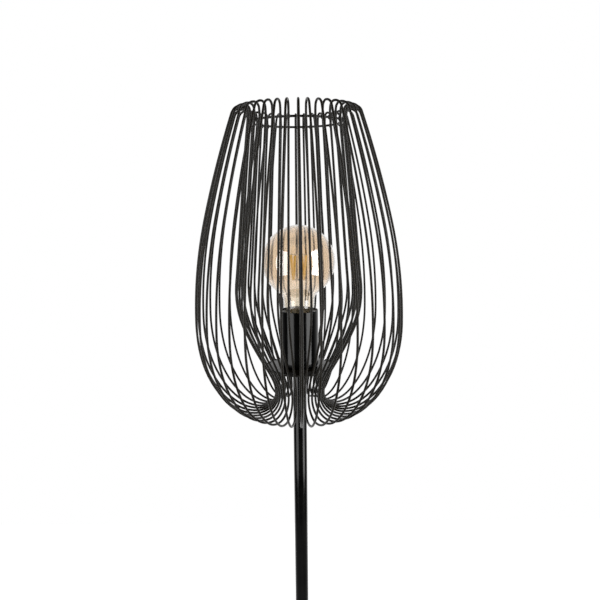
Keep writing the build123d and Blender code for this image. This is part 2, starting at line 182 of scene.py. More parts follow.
class BulbSizes(bpy.types.PropertyGroup):
    """Globe bulb, with heights above the middle of its globe where no other place is given"""

    globe_diameter: length("Globe diameter", "Outside of the glass", 80.5 * MM)
    glass_wall: length("Glass wall", "Thickness of the glass", 1.0 * MM)
    pale_share: share("Pale part", "Share of the glass's height, from below, with the neck's tint", 0.1)
    amber_share: share("Amber part", "Share of the glass's height at which it is fully amber", 0.42)
    neck_diameter: length("Neck diameter", "Straight part under the globe", 34 * MM)
    neck_fillet: length("Neck fillet", "Radius between the globe and the neck", 12 * MM)
    neck_length: length("Neck length", "Straight part under the fillet", 5.5 * MM)
    plug_diameter: length("Plug diameter", "Glass inside the cap", 23.7 * MM)
    plug_length: length("Plug length", "Glass inside the cap", 6 * MM)
    cap_wall: length("Cap wall", "Thickness of the cap's shell", 0.5 * MM)
    thread_pitch: length("Thread pitch", "Rise of the cap's thread in a turn", 3.629 * MM)
    thread_radius: length("Thread roundness", "Radius of the rolled thread", 1.0 * MM)
    thread_turns: share("Thread turns", "Turns of the cap's thread", 4.0)
    thread_proud: share("Thread proud", "How far the thread stands out, in its own radii", 0.8)
    stem_foot_diameter: length("Stem foot diameter", "Flare at the foot of the stem", 16 * MM)
    stem_foot_height: length("Stem foot height", "Flare at the foot of the stem", 14 * MM)
    stem_foot_heading: angle("Stem foot heading", "Direction at the edge of the flare", 150)
    stem_diameter: length("Stem diameter", "Tube above the flare", 6 * MM)
    rod_diameter: length("Rod diameter", "Glass rod between the spiders", 2 * MM)
    spider_diameter: length("Spider wire", "Wires that hold the filaments", 0.7 * MM)
    spider_bend: share("Spider bend", "Share of a spider arm after its bend", 0.1)
    spider_lift: share("Spider lift", "Rise of the bend, as a share of half a filament's height", 0.06)
    filament_count: count("Filaments", "Filament sticks round the axis", 4)
    filament_diameter: length("Filament diameter", "Thickness of a stick", 3.0 * MM)
    filament_top_radius: length("Filament top radius", "From the axis", 9.0 * MM)
    filament_foot_radius: length("Filament foot radius", "From the axis", 8.0 * MM)
    filament_top_height: length("Filament top", "Upper end of the sticks", 7.2 * MM)
    filament_foot_height: length("Filament foot", "Lower end of the sticks", -19.2 * MM)
    filament_first_angle: angle("First filament", "Angle of the first stick's top from +X", -113)
    filament_twist: angle("Filament twist", "From a stick's top to its foot", -22)


class FinishColours(bpy.types.PropertyGroup):
    """Colours of the finishes"""

    wire_dark: colour("Wire, dark", "Powder coat on the wires, in its hollows", (0.0034, 0.0027, 0.0015))
    wire_light: colour("Wire, light", "Powder coat on the wires, on its crests", (0.0125, 0.0100, 0.0062))
    lacquer_dark: colour("Lacquer, dark", "Black lacquer of the pole, cup and foot", (0.0012, 0.0012, 0.0012))
    lacquer_light: colour("Lacquer, light", "Its slightly greyer patches", (0.0030, 0.0030, 0.0028))
    amber: colour("Amber glass", "Tint of the globe", (0.965, 0.83, 0.68))
    amber_neck: colour("Amber glass, neck", "Paler tint at the neck", (0.97, 0.93, 0.84))
    phosphor: colour("Phosphor", "Coating of the filaments", (1.0, 0.74, 0.20))


class StudioSettings(bpy.types.PropertyGroup):
    """Camera, softboxes and backdrop"""

    lens: FloatProperty(
        name="Focal length", description="As wide as the sensor, in millimetres", default=36, unit="CAMERA"
    )
    camera_distance: length("Camera distance", "In front of the lamp's axis", 655 * MM)
    camera_height: length("Camera height", "Above the middle of the hub disc", 192.2 * MM)
    camera_side: length("Camera side", "To the right of the lamp's axis", 1.3 * MM)
    camera_pitch: angle("Camera pitch", "Downwards", 10)
    camera_roll: angle("Camera roll", "Leans the lamp's top to the left", 0.6)
    softbox_distance: length("Softbox distance", "From the lamp's axis", 1.2)
    softbox_height: length("Softbox height", "Upright", 1.6)
    left_angle: angle("Left softbox angle", "From the camera's direction, seen from the lamp", -52)
    left_width: length("Left softbox width", "Across", 0.9)
    left_radiance: share("Left softbox radiance", "Brightness of its cloth", 3.0)
    right_angle: angle("Right softbox angle", "From the camera's direction, seen from the lamp", 60)
    right_width: length("Right softbox width", "Across", 0.7)
    right_radiance: share("Right softbox radiance", "Brightness of its cloth", 5.0)
    front_level: share("Room in front", "Brightness of the room behind the camera", 0.04)
    back_level: share("Room behind", "Brightness of the room behind the lamp", 1.0)
    floor_shade: share("Floor shade", "Diffuse reflectance of the floor", 0.6)
    near_lift: share("Floor lift, near", "Light added where the floor is seen at the foot", 0.54)
    far_lift: share("Floor lift, far", "Light added where the floor is seen towards its edge", 0.85)
    near_distance: length("Near floor", "From the lamp's axis, where the lift starts to grow", 0.25)
    far_distance: length("Far floor", "From the lamp's axis, where the lift is full", 1.2)
    floor_size: length("Floor size", "Side of the square floor", 3.5)


# Outlines, as (radius, height) vectors


def arc_points(start, heading, end):
    """Points after start on the arc that leaves it at a heading and ends at end, and the heading there."""
    chord = end - start
    turn = 2 * ((atan2(chord.y, chord.x) - heading + pi) % FULL_TURN - pi)
    arc_radius = chord.length / (2 * sin(turn / 2))
    steps = max(ARC_LEAST_STEPS, ceil(abs(turn) / ARC_STEP), ceil(abs(turn * arc_radius) / PATH_STEP))
    points = []
    for step in range(1, steps + 1):
        half = turn * step / steps / 2
        points.append(start + Vector((cos(heading + half), sin(heading + half))) * 2 * arc_radius * sin(half))
    return points, heading + turn


def biarc_points(start, leave, end, arrive):
    """Points after start on the two tangent arcs that leave it and reach end at the given headings."""
    leaving = Vector((cos(leave), sin(leave)))
    arriving = Vector((cos(arrive), sin(arrive)))
    span = end - start
    bend = 2 * (1 - leaving.dot(arriving))
    along = span.dot(leaving + arriving)
    lever = (sqrt(along**2 + bend * span.length_squared) - along) / bend
    joint = (start + end + (leaving - arriving) * lever) / 2
    first, heading = arc_points(start, leave, joint)
    second, heading = arc_points(joint, heading, end)
    return first + second


def rounded(corners):
    """Closed outline through (radius, height, rounding) corners."""
    outline = []
    for before, corner, after in zip(corners[-1:] + corners[:-1], corners, corners[1:] + corners[:1]):
        point = Vector(corner[:2])
        rounding = corner[2]
        if not rounding:
            outline.append(point)
            continue
        back = (Vector(before[:2]) - point).normalized()
        ahead = (Vector(after[:2]) - point).normalized()
        half = back.angle(ahead) / 2
        centre = point + (back + ahead).normalized() * rounding / sin(half)
        first = point + back * rounding / tan(half) - centre
        last = point + ahead * rounding / tan(half) - centre
        for step in range(ROUND_STEPS + 1):
            outline.append(centre + first.lerp(last, step / ROUND_STEPS).normalized() * rounding)
    return outline


# Meshes


def finished_mesh(name, work):
    """Turn a bmesh into a smooth mesh with sharp creases."""
    mesh = bpy.data.meshes.new(name)
    work.to_mesh(mesh)
    work.free()
    mesh.shade_smooth()
    mesh.set_sharp_from_angle(angle=SHARP_ANGLE)
    return mesh


def turn_outline(work, outline, closed):
    """Turn an outline about the lamp's axis into a bmesh, facing out where the outline runs upwards."""
    rings = []
    for step in range(LATHE_STEPS):
        azimuth = FULL_TURN * step / LATHE_STEPS
        rings.append([work.verts.new((r * cos(azimuth), r * sin(azimuth), z)) for r, z in outline])
    edges = list(zip(range(len(outline) - 1), range(1, len(outline))))
    if closed:
        edges.append((len(outline) - 1, 0))
    for ring, following in zip(rings, rings[1:] + rings[:1]):
        for first, second in edges:
            work.faces.new((ring[first], following[first], following[second], ring[second]))


def lathe(name, outline):
    """Solid of revolution with a closed outline that stays off the axis."""
    work = bmesh.new()
    turn_outline(work, outline, closed=True)
    bmesh.ops.recalc_face_normals(work, faces=work.faces)
    return finished_mesh(name, work)


def lathe_to_axis(name, upward, downward=()):
    """Solid of revolution: upward runs from axis to axis outside, downward the same way round a hollow."""
    work = bmesh.new()
    turn_outline(work, upward, closed=False)
    if downward:
        turn_outline(work, downward, closed=False)
    bmesh.ops.remove_doubles(work, verts=work.verts, dist=MERGE_DISTANCE)
    return finished_mesh(name, work)


def smooth_copy(name, node):
    """Merged, smooth copy of a packed node's mesh."""
    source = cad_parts[node].data
    loose = bpy.data.meshes.new(name)
    loose.from_pydata([v.co for v in source.vertices], [], [p.vertices[:] for p in source.polygons])
    work = bmesh.new()
    work.from_mesh(loose)
    bpy.data.meshes.remove(loose)
    bmesh.ops.remove_doubles(work, verts=work.verts, dist=MERGE_DISTANCE)
    return finished_mesh(name, work)


def path_curve(name, points, cyclic):
    """Curve through points, as the line for a sweep."""
    curve = bpy.data.curves.new(name, "CURVE")
    curve.dimensions = "3D"
    spline = curve.splines.new("POLY")
    spline.points.add(len(points) - 1)
    for place, point in zip(spline.points, points):
        place.co = (*point, 1)
    spline.use_cyclic_u = cyclic
    return curve


# Nodes


def add_node(tree, kind, settings=(), **inputs):
    """Add a node, with its settings, and its inputs set or linked by name."""
    node = tree.nodes.new(kind)
    for label, value in dict(settings).items():
        setattr(node, label, value)
    for label, value in inputs.items():
        name = label.replace("_", " ")
        socket = next(s for s in node.inputs if s.name == name and s.enabled)
        if isinstance(value, bpy.types.NodeSocket):
            tree.links.new(value, socket)
        else:
            socket.default_value = value
    return node


def calculate(tree, operation, first, second):
    """Result of a math node on two numbers or sockets."""
    node = add_node(tree, "ShaderNodeMath", {"operation": operation})
    for socket, value in zip(node.inputs, (first, second)):
        if isinstance(value, bpy.types.NodeSocket):
            tree.links.new(value, socket)
        else:
            socket.default_value = value
    return node.outputs["Value"]


COPY_INPUTS = (
    ("Geometry", "NodeSocketGeometry"),
    ("Sweep", "NodeSocketBool"),
    ("Radius", "NodeSocketFloat"),
    ("Sides", "NodeSocketInt"),
    ("Count", "NodeSocketInt"),
    ("First Angle", "NodeSocketFloat"),
    ("Wander", "NodeSocketFloat"),
    ("Lean", "NodeSocketFloat"),
    ("Pivot Height", "NodeSocketFloat"),
    ("Seed", "NodeSocketInt"),
    ("Material", "NodeSocketMaterial"),
)


def turned_copies_tree():
    """Geometry nodes: sweep a path into a wire, or take a mesh, and copy it round the lamp's axis."""
    tree = bpy.data.node_groups.new("turned_copies", "GeometryNodeTree")
    tree.interface.new_socket("Geometry", in_out="OUTPUT", socket_type="NodeSocketGeometry")
    for label, kind in COPY_INPUTS:
        tree.interface.new_socket(label, in_out="INPUT", socket_type=kind)
    given = tree.nodes.new("NodeGroupInput").outputs
    section = add_node(
        tree, "GeometryNodeCurvePrimitiveCircle", Resolution=given["Sides"], Radius=given["Radius"]
    )
    wire = add_node(
        tree,
        "GeometryNodeCurveToMesh",
        Curve=given["Geometry"],
        Profile_Curve=section.outputs["Curve"],
        Fill_Caps=True,
    )
    smooth = add_node(tree, "GeometryNodeSetShadeSmooth", Geometry=wire.outputs["Mesh"])
    chosen = add_node(
        tree,
        "GeometryNodeSwitch",
        {"input_type": "GEOMETRY"},
        Switch=given["Sweep"],
        **{"False": given["Geometry"], "True": smooth.outputs["Geometry"]},
    )
    pivot = add_node(tree, "ShaderNodeCombineXYZ", Z=given["Pivot Height"])
    places = add_node(tree, "GeometryNodePoints", Count=given["Count"], Position=pivot.outputs["Vector"])
    index = tree.nodes.new("GeometryNodeInputIndex").outputs["Index"]
    even = calculate(tree, "MULTIPLY", index, calculate(tree, "DIVIDE", FULL_TURN, given["Count"]))
    chances = []
    for shift, limit in enumerate(("Wander", "Lean")):
        seed = calculate(tree, "ADD", given["Seed"], shift)
        chance = add_node(tree, "FunctionNodeRandomValue", Min=-1.0, Max=1.0, ID=index, Seed=seed)
        value = next(s for s in chance.outputs if s.enabled)
        chances.append(calculate(tree, "MULTIPLY", value, given[limit]))
    azimuth = calculate(tree, "ADD", calculate(tree, "ADD", even, given["First Angle"]), chances[0])
    euler = add_node(tree, "ShaderNodeCombineXYZ", X=chances[1], Z=azimuth)
    rotation = add_node(tree, "FunctionNodeEulerToRotation", Euler=euler.outputs["Vector"])
    copies = add_node(
        tree,
        "GeometryNodeInstanceOnPoints",
        Points=places.outputs["Points"],
        Instance=chosen.outputs["Output"],
        Rotation=rotation.outputs["Rotation"],
    )
    real = add_node(tree, "GeometryNodeRealizeInstances", Geometry=copies.outputs["Instances"])
    painted = add_node(
        tree, "GeometryNodeSetMaterial", Geometry=real.outputs["Geometry"], Material=given["Material"]
    )
    add_node(tree, "NodeGroupOutput", Geometry=painted.outputs["Geometry"])
    return tree


def turned_copies(name, source, settings):
    """Plain mesh of what the turned-copies nodes make of a curve or mesh."""
    tree = bpy.data.node_groups.get("turned_copies") or turned_copies_tree()
    sockets = {item.name: item.identifier for item in tree.interface.items_tree if item.in_out == "INPUT"}
    maker = bpy.data.objects.new(name, source)
    bpy.context.scene.collection.objects.link(maker)
    modifier = maker.modifiers.new("turned copies", "NODES")
    modifier.node_group = tree
    for label, value in settings.items():
        modifier[sockets[label]] = value
    depsgraph = bpy.context.evaluated_depsgraph_get()
    mesh = bpy.data.meshes.new_from_object(maker.evaluated_get(depsgraph), depsgraph=depsgraph)
    mesh.name = name
    maker.modifiers.remove(modifier)
    bpy.data.objects.remove(maker)
    return mesh


def sweep_settings(radius, sides, copies, first_angle, material):
    """Inputs for even copies of a swept path."""
    return {
        "Sweep": True,
        "Radius": radius,
        "Sides": sides,
        "Count": copies,
        "First Angle": first_angle,
        "Wander": 0.0,
        "Lean": 0.0,
        "Pivot Height": 0.0,
        "Seed": 0,
        "Material": material,
    }


# Finishes


def finish_base(name, **constants):
    """New material with its plain values, and what the finishes below need of it: tree, shader, place."""
    material = bpy.data.materials.new(name)
    material.use_nodes = True
    tree = material.node_tree
    shader = tree.nodes["Principled BSDF"]
    for label, value in constants.items():
        shader.inputs[label.replace("_", " ")].default_value = value
    place = tree.nodes.new("ShaderNodeTexCoord").outputs["Object"]
    return material, tree, shader, place


def grain(tree, place, scale, detail=2.0, stretch=(1, 1, 1)):
    """Fine noise, from 0 to 1, at a number of cells to the metre."""
    mapping = add_node(tree, "ShaderNodeMapping", Vector=place, Scale=stretch)
    noise = add_node(tree, "ShaderNodeTexNoise", Vector=mapping.outputs["Vector"], Scale=scale, Detail=detail)
    return noise.outputs["Fac"]


def between(tree, shader, label, factor, low, high):
    """Drive a number of the shader from low to high by a factor."""
    limits = add_node(
        tree,
        "ShaderNodeMapRange",
        Value=factor,
        From_Min=NOISE_LOW,
        From_Max=NOISE_HIGH,
        To_Min=low,
        To_Max=high,
    )
    tree.links.new(limits.outputs["Result"], shader.inputs[label])


def shaded(tree, shader, factor, dark, light):
    """Drive the shader's base colour from dark to light by a factor."""
    ramp = add_node(tree, "ShaderNodeValToRGB", Fac=factor)
    for stop, position, tint in zip(ramp.color_ramp.elements, COLOUR_STOPS, (dark, light)):
        stop.position = position
        stop.color = (*tint, 1)
    tree.links.new(ramp.outputs["Color"], shader.inputs["Base Color"])


def relief(tree, shader, factor, depth, strength=1.0):
    """Raise the surface by a factor, to a depth in metres."""
    bump = add_node(tree, "ShaderNodeBump", Height=factor, Distance=depth, Strength=strength)
    tree.links.new(bump.outputs["Normal"], shader.inputs["Normal"])


def powder_coat():
    """Satin black powder coat of the wires and the hub: a fine pebble with slightly greyer crests."""
    colours = bpy.context.scene.lamp_colours
    material, tree, shader, place = finish_base("powder_coat", Specular_IOR_Level=0.17)
    pebble = grain(tree, place, scale=1400, detail=3)
    shaded(tree, shader, pebble, colours.wire_dark, colours.wire_light)
    between(tree, shader, "Roughness", grain(tree, place, scale=160), low=0.22, high=0.34)
    relief(tree, shader, pebble, depth=0.03 * MM, strength=0.5)
    return material


def black_lacquer():
    """Semi-gloss black lacquer of the pole, cup and foot: smooth, with a faint orange peel."""
    colours = bpy.context.scene.lamp_colours
    material, tree, shader, place = finish_base("black_lacquer", Specular_IOR_Level=0.24)
    shaded(tree, shader, grain(tree, place, scale=45), colours.lacquer_dark, colours.lacquer_light)
    between(tree, shader, "Roughness", grain(tree, place, scale=220), low=0.1, high=0.15)
    relief(tree, shader, grain(tree, place, scale=480), depth=0.01 * MM, strength=0.15)
    return material


def amber_glass():
    """Clear amber glass, coated on the globe, that pales towards the neck."""
    colours = bpy.context.scene.lamp_colours
    bulb = bpy.context.scene.lamp_bulb
    material, tree, shader, place = finish_base(
        "amber_glass",
        Transmission_Weight=1.0,
        IOR=1.5,
        Roughness=0.0,
        Coat_IOR=2.0,
        Coat_Roughness=0.0,
    )
    low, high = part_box("bulb_glass")
    height = add_node(tree, "ShaderNodeSeparateXYZ", Vector=place).outputs["Z"]
    rise = add_node(
        tree,
        "ShaderNodeMapRange",
        Value=height,
        From_Min=low.lerp(high, bulb.pale_share).z,
        From_Max=low.lerp(high, bulb.amber_share).z,
    )
    tree.links.new(rise.outputs["Result"], shader.inputs["Coat Weight"])
    ramp = add_node(tree, "ShaderNodeValToRGB", Fac=rise.outputs["Result"])
    for stop, tint in zip(ramp.color_ramp.elements, (colours.amber_neck, colours.amber)):
        stop.color = (*tint, 1)
    tree.links.new(ramp.outputs["Color"], shader.inputs["Base Color"])
    relief(tree, shader, grain(tree, place, scale=60), depth=0.05 * MM, strength=0.15)
    return material


def clear_glass():
    """Clear glass of the bulb's stem, with the slight waves of drawn tube."""
    material, tree, shader, place = finish_base(
        "clear_glass", Base_Color=(0.97, 0.98, 0.97, 1), Transmission_Weight=1.0, IOR=1.5
    )
    waves = grain(tree, place, scale=220, stretch=(1, 1, 0.2))
    between(tree, shader, "Roughness", waves, low=0.0, high=0.05)
    relief(tree, shader, waves, depth=0.05 * MM, strength=0.2)
    return material


def phosphor_coat():
    """Yellow phosphor of the filaments: matt and granular, with a faint painted glow that stands in for light
    the glass and the cage keep from them.
    """
    colours = bpy.context.scene.lamp_colours
    # Painted glow: a faint emission that brightens the filaments, though the bulb is not lit
    painted_glow = (1.0, 0.60, 0.14, 1)
    material, tree, shader, place = finish_base(
        "phosphor_coat", Roughness=0.55, Emission_Color=painted_glow, Emission_Strength=0.2
    )
    grit = grain(tree, place, scale=2600, detail=3)
    deep = [level * PHOSPHOR_SHADE for level in colours.phosphor]
    shaded(tree, shader, grit, deep, colours.phosphor)
    relief(tree, shader, grit, depth=0.05 * MM, strength=0.6)
    return material


def brushed_metal(name, tint, dull, bright):
    """Plated or turned metal with fine rings round the axis."""
    material, tree, shader, place = finish_base(name, Metallic=1.0)
    rings = grain(tree, place, scale=900, detail=3, stretch=(0.15, 0.15, 3))
    shaded(tree, shader, rings, [level * METAL_SHADE for level in tint], tint)
    between(tree, shader, "Roughness", rings, low=bright, high=dull)
    relief(tree, shader, rings, depth=0.01 * MM, strength=0.4)
    return material


def nickel_plate():
    """Bright nickel of the bulb's cap and spider wires."""
    return brushed_metal("nickel_plate", tint=(0.72, 0.69, 0.64), dull=0.34, bright=0.2)


def brass():
    """Brass of the screw shell and the contacts."""
    return brushed_metal("brass", tint=(0.80, 0.60, 0.29), dull=0.38, bright=0.24)


def zinc_plate():
    """Zinc plate of the nuts, washers and threaded tubes."""
    return brushed_metal("zinc_plate", tint=(0.62, 0.64, 0.65), dull=0.46, bright=0.3)


def moulded(name, dark, light, rough, smooth, scale):
    """Moulded or cast material with a fine even texture."""
    material, tree, shader, place = finish_base(name)
    texture = grain(tree, place, scale=scale, detail=4)
    shaded(tree, shader, texture, dark, light)
    between(tree, shader, "Roughness", texture, low=smooth, high=rough)
    relief(tree, shader, texture, depth=0.04 * MM, strength=0.5)
    return material


def phenolic():
    """Brown phenolic moulding of the lampholder, with a dull shine."""
    return moulded(
        "phenolic",
        dark=(0.075, 0.060, 0.036),
        light=(0.105, 0.086, 0.053),
        rough=0.42,
        smooth=0.28,
        scale=500,
    )


def bush_plastic():
    """Black nylon of the cord bush."""
    return moulded(
        "bush_plastic",
        dark=(0.010, 0.010, 0.010),
        light=(0.018, 0.018, 0.018),
        rough=0.55,
        smooth=0.4,
        scale=1500,
    )


def cap_glass():
    """Black glass of the insulator in the bulb's cap."""
    return moulded(
        "cap_glass",
        dark=(0.004, 0.004, 0.005),
        light=(0.010, 0.009, 0.012),
        rough=0.16,
        smooth=0.06,
        scale=300,
    )


def cast_iron():
    """Grey iron of the weight, with a coarse cast skin."""
    return moulded(
        "cast_iron",
        dark=(0.030, 0.029, 0.028),
        light=(0.075, 0.072, 0.068),
        rough=0.8,
        smooth=0.55,
        scale=700,
    )


def felt():
    """Black felt under the foot, a mat of short fibres."""
    material, tree, shader, place = finish_base("felt", Sheen_Weight=0.4, Sheen_Roughness=0.5, Roughness=0.95)
    fibres = grain(tree, place, scale=900, detail=6, stretch=(1, 0.35, 1))
    shaded(tree, shader, fibres, dark=(0.006, 0.006, 0.006), light=(0.022, 0.021, 0.020))
    relief(tree, shader, fibres, depth=0.3 * MM, strength=0.8)
    return material


FINISHES = {
    "satin_black_wire": powder_coat,
    "semi_gloss_black_steel": black_lacquer,
    "amber_glass": amber_glass,
    "clear_glass": clear_glass,
    "filament_phosphor": phosphor_coat,
    "nickel_plated_cap": nickel_plate,
    "brass": brass,
    "zinc_plated_steel": zinc_plate,
    "brown_phenolic": phenolic,
    "black_plastic": bush_plastic,
    "black_glass": cap_glass,
    "cast_iron": cast_iron,
    "black_felt": felt,
}
made_finishes = {}


def finish(slot):
    """Material for one of the record's slots, made once."""
    if slot not in made_finishes:
        made_finishes[slot] = FINISHES[slot]()
    return made_finishes[slot]


# Pieces


def add_piece(name, mesh, body, slot, *nodes):
    """Show a mesh as a piece that rides on a body, has a slot's finish and stands for packed nodes."""
    piece = bpy.data.objects.new(name, mesh)
    bpy.context.scene.collection.objects.link(piece)
    mesh.materials.clear()
    mesh.materials.append(finish(slot))
    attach(piece, body)
    if nodes:
        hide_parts(*nodes)
    return piece


def paint_node(node, slot):
    """Give a packed node that stays in view a slot's finish."""
    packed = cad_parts[node]
    for material_slot in packed.material_slots:
        material_slot.material = finish(slot)


def leave_out_of_reflections(piece):
    """Keep a piece out of what the glass and the lacquer reflect, so the softboxes show whole in them."""
    piece.visible_glossy = False


def outer_radius(node):
    """Largest radius of a round packed node about the lamp's axis."""
    return max(Vector((v.co.x, v.co.y)).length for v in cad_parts[node].data.vertices)


def hub_middle():
    """Height of the middle of the hub disc."""
    low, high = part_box("hub_disc")
    return (low.z + high.z) / 2


def wire_loop(cage):
    """Points of one loop in its plane, as radius and height above the hub disc's middle."""
    cage_top = cad_box[1][2] - hub_middle()
    peak_radius = cage.ring_weld_radius + cage.peak_reach
    inner_leg_height = cage.inner_belly_height + cage.inner_leg_rise
    nodes = [
        (cage.hub_weld_radius, 0, cage.hub_weld_heading),
        (cage.inner_belly_radius, cage.inner_belly_height, radians(90)),
        (cage.inner_belly_radius - cage.inner_leg_inset, inner_leg_height, cage.inner_leg_heading),
        (cage.ring_weld_radius, cage_top - cage.ring_weld_drop, cage.ring_weld_heading),
        (peak_radius, cage_top - cage.wire_diameter / 2, 0),
        (peak_radius + cage.shoulder_reach, cage_top - cage.shoulder_drop, cage.shoulder_heading),
        (cage.belly_radius, cage.belly_height, radians(-90)),
        (cage.belly_radius - cage.flank_inset, cage.belly_height - cage.flank_drop, cage.flank_heading),
        (cage.bottom_radius, -cage.bottom_drop, radians(180)),
        (cage.waist_radius, cage.waist_rise - cage.bottom_drop, radians(90)),
    ]
    loop = []
    for start, end in zip(nodes, nodes[1:] + nodes[:1]):
        loop += biarc_points(Vector(start[:2]), start[2], Vector(end[:2]), end[2])
    return loop


def weld_beads(cage):
    """Mesh of one loop's two weld beads, at the hub disc and at the top ring, in the loop's plane."""
    wire_radius = cage.wire_diameter / 2
    work = bmesh.new()
    welds = (
        (cage.hub_weld_radius, 0, cage.hub_weld_heading),
        (cage.ring_weld_radius, cad_box[1][2] - hub_middle() - cage.ring_weld_drop, cage.ring_weld_heading),
    )
    for weld_radius, height, heading in welds:
        inside = Vector((-sin(heading), 0, cos(heading))) * wire_radius
        spot = Matrix.Translation(Vector((weld_radius, 0, height)) + inside)
        tilt = Matrix.Rotation(radians(90) - heading, 4, "Y")
        stretch = Matrix.Diagonal((cage.bead_width, cage.bead_width, cage.bead_length, 1))
        bmesh.ops.create_uvsphere(
            work,
            u_segments=BEAD_SEGMENTS,
            v_segments=BEAD_RINGS,
            radius=0.5,
            matrix=spot @ tilt @ stretch,
        )
    return finished_mesh("weld_beads", work)


class LampCage(bpy.types.Operator):
    """Bend the wire loops, set them round the hub and weld them on"""

    bl_idname = "cage_lamp.cage"
    bl_label = "Wire Cage"

    def execute(self, context):
        cage = context.scene.lamp_cage
        settings = sweep_settings(
            cage.wire_diameter / 2,
            cage.wire_sides,
            cage.wire_count,
            cage.first_wire_angle,
            finish("satin_black_wire"),
        )
        settings.update({"Wander": cage.wander, "Lean": cage.lean, "Seed": cage.seed})
        settings["Pivot Height"] = hub_middle()
        loop = path_curve("wire_loop", [(r, 0, z) for r, z in wire_loop(cage)], cyclic=True)
        wires = turned_copies("cage_wires", loop, settings)
        nodes = sorted(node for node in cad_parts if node.startswith("cage_wire_"))
        leave_out_of_reflections(add_piece("cage_wires", wires, "lamp", "satin_black_wire", *nodes))
        settings["Sweep"] = False
        beads = turned_copies("cage_welds", weld_beads(cage), settings)
        leave_out_of_reflections(add_piece("cage_welds", beads, "lamp", "satin_black_wire"))
        return {"FINISHED"}


class LampRings(bpy.types.Operator):
    """Turn the top ring and the hub disc that the wires are welded to"""

    bl_idname = "cage_lamp.rings"
    bl_label = "Top Ring and Hub Disc"

    def execute(self, context):
        cage = context.scene.lamp_cage
        sizes = context.scene.lamp_bodies
        ring_low, ring_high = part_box("top_ring")
        section_radius = (ring_high.z - ring_low.z) / 2
        middle = Vector((outer_radius("top_ring") - section_radius, (ring_low.z + ring_high.z) / 2))
        section = []
        for step in range(cage.wire_sides):
            azimuth = FULL_TURN * step / cage.wire_sides
            section.append(middle + Vector((cos(azimuth), sin(azimuth))) * section_radius)
        ring = add_piece("ring_wire", lathe("ring_wire", section), "lamp", "satin_black_wire", "top_ring")
        leave_out_of_reflections(ring)

        hub_low, hub_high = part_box("hub_disc")
        rim = outer_radius("hub_disc")
        slope = (hub_high.z - hub_low.z) / tan(cage.hub_weld_heading)
        bore = sizes.pole_bore / 2
        outline = rounded(
            [
                (bore, hub_low.z, 0),
                (rim - slope, hub_low.z, sizes.plate_edge),
                (rim, hub_high.z, sizes.plate_edge),
                (bore, hub_high.z, 0),
            ]
        )
        add_piece("hub_plate", lathe("hub_plate", outline), "lamp", "satin_black_wire", "hub_disc")
        return {"FINISHED"}


class LampPole(bpy.types.Operator):
    """Turn the pole's three sections"""

    bl_idname = "cage_lamp.pole"
    bl_label = "Pole"

    def execute(self, context):
        sizes = context.scene.lamp_bodies
        for node in ("pole_lower", "pole_middle", "pole_upper"):
            low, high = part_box(node)
            radius = outer_radius(node)
            bore = sizes.pole_bore / 2
            inner = radius - sizes.pole_wall
            outline = rounded(
                [
                    (bore, low.z, 0),
                    (radius, low.z, sizes.pole_edge),
                    (radius, high.z, sizes.pole_edge),
                    (bore, high.z, 0),
                    (bore, high.z - sizes.pole_end, 0),
                    (inner, high.z - sizes.pole_end, 0),
                    (inner, low.z + sizes.pole_end, 0),
                    (bore, low.z + sizes.pole_end, 0),
                ]
            )
            name = f"{node}_tube"
            add_piece(name, lathe(name, outline), "lamp", "semi_gloss_black_steel", node)
        return {"FINISHED"}


class LampFoot(bpy.types.Operator):
    """Finish the foot's cover, felt, weight and cord bush"""

    bl_idname = "cage_lamp.foot"
    bl_label = "Foot"

    def execute(self, context):
        skins = (
            ("base_cover", "foot_cover", "semi_gloss_black_steel"),
            ("base_pad", "foot_felt", "black_felt"),
            ("cord_bushing", "foot_cord_bush", "black_plastic"),
        )
        for node, name, slot in skins:
            add_piece(name, smooth_copy(name, node), "lamp", slot, node)
        paint_node("base_weight", "cast_iron")
        return {"FINISHED"}


class LampSocket(bpy.types.Operator):
    """Turn the socket cup and the lampholder in it"""

    bl_idname = "cage_lamp.socket"
    bl_label = "Socket Cup and Lampholder"

    def execute(self, context):
        sizes = context.scene.lamp_bodies
        bore = sizes.pole_bore / 2
        low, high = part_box("socket_cup")
        radius = outer_radius("socket_cup")
        inner = radius - sizes.cup_wall
        floor = low.z + sizes.cup_floor
        cup = rounded(
            [
                (bore, low.z, 0),
                (radius, low.z, sizes.cup_edge),
                (radius, high.z, sizes.cup_lip),
                (inner, high.z, sizes.cup_lip),
                (inner, floor, 0),
                (bore, floor, 0),
            ]
        )
        add_piece("cup_shell", lathe("cup_shell", cup), "lamp", "semi_gloss_black_steel", "socket_cup")

        low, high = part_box("lampholder_body")
        shell_low, shell_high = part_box("screw_shell")
        radius = outer_radius("lampholder_body")
        seat = sizes.shell_diameter / 2
        well = sizes.well_diameter / 2
        well_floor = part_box("centre_contact")[0].z
        hole = sizes.lead_hole / 2
        hole_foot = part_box("threaded_nipples")[1].z
        holder = rounded(
            [
                (bore, low.z, 0),
                (radius, low.z, 0),
                (radius, high.z, sizes.holder_lip),
                (sizes.holder_mouth / 2, high.z, sizes.holder_lip),
                (seat, shell_high.z, 0),
                (seat, shell_low.z, 0),
                (well, shell_low.z, 0),
                (well, well_floor, 0),
                (hole, well_floor, 0),
                (hole, hole_foot, 0),
                (bore, hole_foot, 0),
            ]
        )
        moulding = lathe("holder_moulding", holder)
        add_piece("holder_moulding", moulding, "lamp", "brown_phenolic", "lampholder_body")
        return {"FINISHED"}


